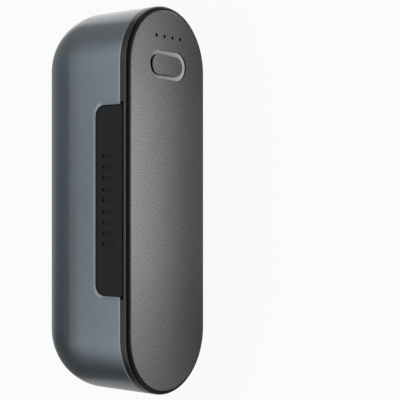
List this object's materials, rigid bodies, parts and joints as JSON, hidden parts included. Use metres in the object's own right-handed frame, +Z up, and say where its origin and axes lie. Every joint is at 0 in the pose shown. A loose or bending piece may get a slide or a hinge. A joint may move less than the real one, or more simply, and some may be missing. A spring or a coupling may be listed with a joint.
{
  "type": "rechargeable hand warmer",
  "caption": "Pocket rechargeable hand warmer: a pill-shaped aluminium shell with a round back, a flat front plate with a power button and pinhole lights, a side grip and charging sockets.",
  "frame": {"origin": "under the middle of the body, on the surface that it rests on", "axes": "+X along the body towards the button end, -Y out of the front plate, +Z up, with the unit lying on its flat socket side and the grip on top"},
  "size_m": [0.105, 0.0368, 0.0334],
  "materials": {
    "shell_aluminium": "fine-blasted anodised blue-grey, satin",
    "plate_metal": "fine-grained metallic dark grey, satin",
    "bezel_black": "satin black moulding",
    "panel_black": "matt black, fine texture",
    "ring_diffuser": "milky translucent",
    "guide_clear": "smoked clear moulding",
    "chassis_plastic": "heat-resistant moulding",
    "board_laminate": "solder-masked laminate",
    "component_black": "moulded epoxy",
    "component_ceramic": "fired ceramic",
    "led_white": "clear lens over phosphor",
    "ferrite": "pressed ferrite",
    "socket_steel": "nickel-plated steel",
    "socket_plastic": "glass-filled moulding",
    "contact_gold": "gold-plated, smooth",
    "switch_plastic": "moulded",
    "screw_steel": "zinc-plated",
    "cell_sleeve": "heat-shrunk sleeve over a steel can",
    "cell_steel": "nickel-plated steel",
    "insulator_white": "fibre board",
    "nickel": "bare nickel strip",
    "foam_black": "closed-cell foam",
    "heater_film": "amber film with etched foil",
    "adhesive_tape": "double-sided tape",
    "lead_insulation": "silicone insulation"
  },
  "bodies": {
    "body": {"shell": "shell_aluminium", "bezel": "bezel_black", "front_plate": "plate_metal", "plate_adhesive": "adhesive_tape", "side_grip": "panel_black", "port_panel": "panel_black", "button_light_ring": "ring_diffuser", "switch_body": "switch_plastic", "indicator_light_guide": "guide_clear", "indicator_leds": "led_white", "ring_leds": "led_white", "chassis": "chassis_plastic", "control_board": "board_laminate", "controller_chip": "component_black", "boost_inductor": "ferrite", "board_capacitors": "component_ceramic", "usb_a_shell": "socket_steel", "usb_a_tongue": "socket_plastic", "usb_c_shell": "socket_steel", "usb_c_tongue": "socket_plastic", "usb_a_contacts": "contact_gold", "usb_c_contacts": "contact_gold", "board_screws": "screw_steel", "bezel_screws": "screw_steel", "battery_cell": "cell_sleeve", "cell_positive_cap": "cell_steel", "cell_insulator_ring": "insulator_white", "positive_tab": "nickel", "negative_tab": "nickel", "cell_foam_pads": "foam_black", "rear_heater_film": "heater_film", "front_heater_film": "heater_film", "rear_heater_leads": "lead_insulation", "front_heater_leads": "lead_insulation", "temperature_sensor": "component_black"},
    "button": {"power_button": "plate_metal", "switch_plunger": "switch_plastic"}
  },
  "joints": [
    {"name": "button_press", "type": "slide", "parent": "body", "child": "button", "axis": [0, 1, 0], "range_m": [0, 0.0003], "stiffness_N_per_m": 4000}
  ]
}
